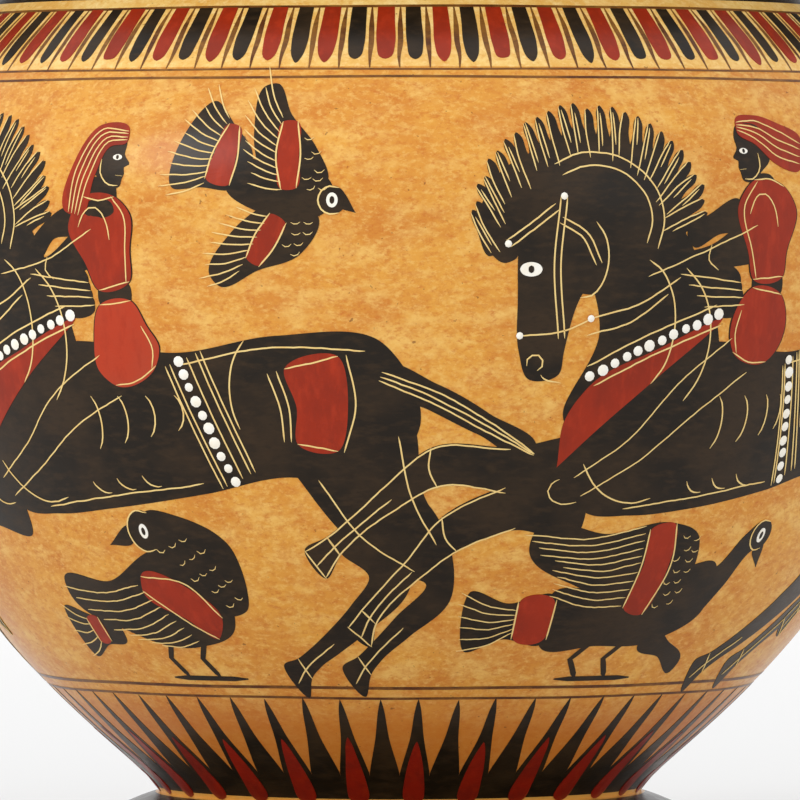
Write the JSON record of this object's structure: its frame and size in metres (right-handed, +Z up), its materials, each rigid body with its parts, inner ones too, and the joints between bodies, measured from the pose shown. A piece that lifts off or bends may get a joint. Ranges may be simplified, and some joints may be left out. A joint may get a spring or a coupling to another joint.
{
  "type": "column krater",
  "caption": "Wide painted clay bowl with a broad mouth, flat lip, ring foot and two column handles, for mixing and serving wine.",
  "frame": {"origin": "centre of the foot's resting ring, on the surface that the pot stands on", "axes": "+Z up along the turning axis, X through the two handles, and -Y towards the front of the painted frieze"},
  "size_m": [0.352, 0.34, 0.32],
  "materials": {
    "fired_clay": "satin",
    "black_slip": "gloss",
    "red_slip": "gloss",
    "brown_line": "gloss",
    "scratched_line": "satin",
    "white_slip": "satin"
  },
  "bodies": {
    "root": {"krater": "fired_clay"}
  },
  "joints": []
}
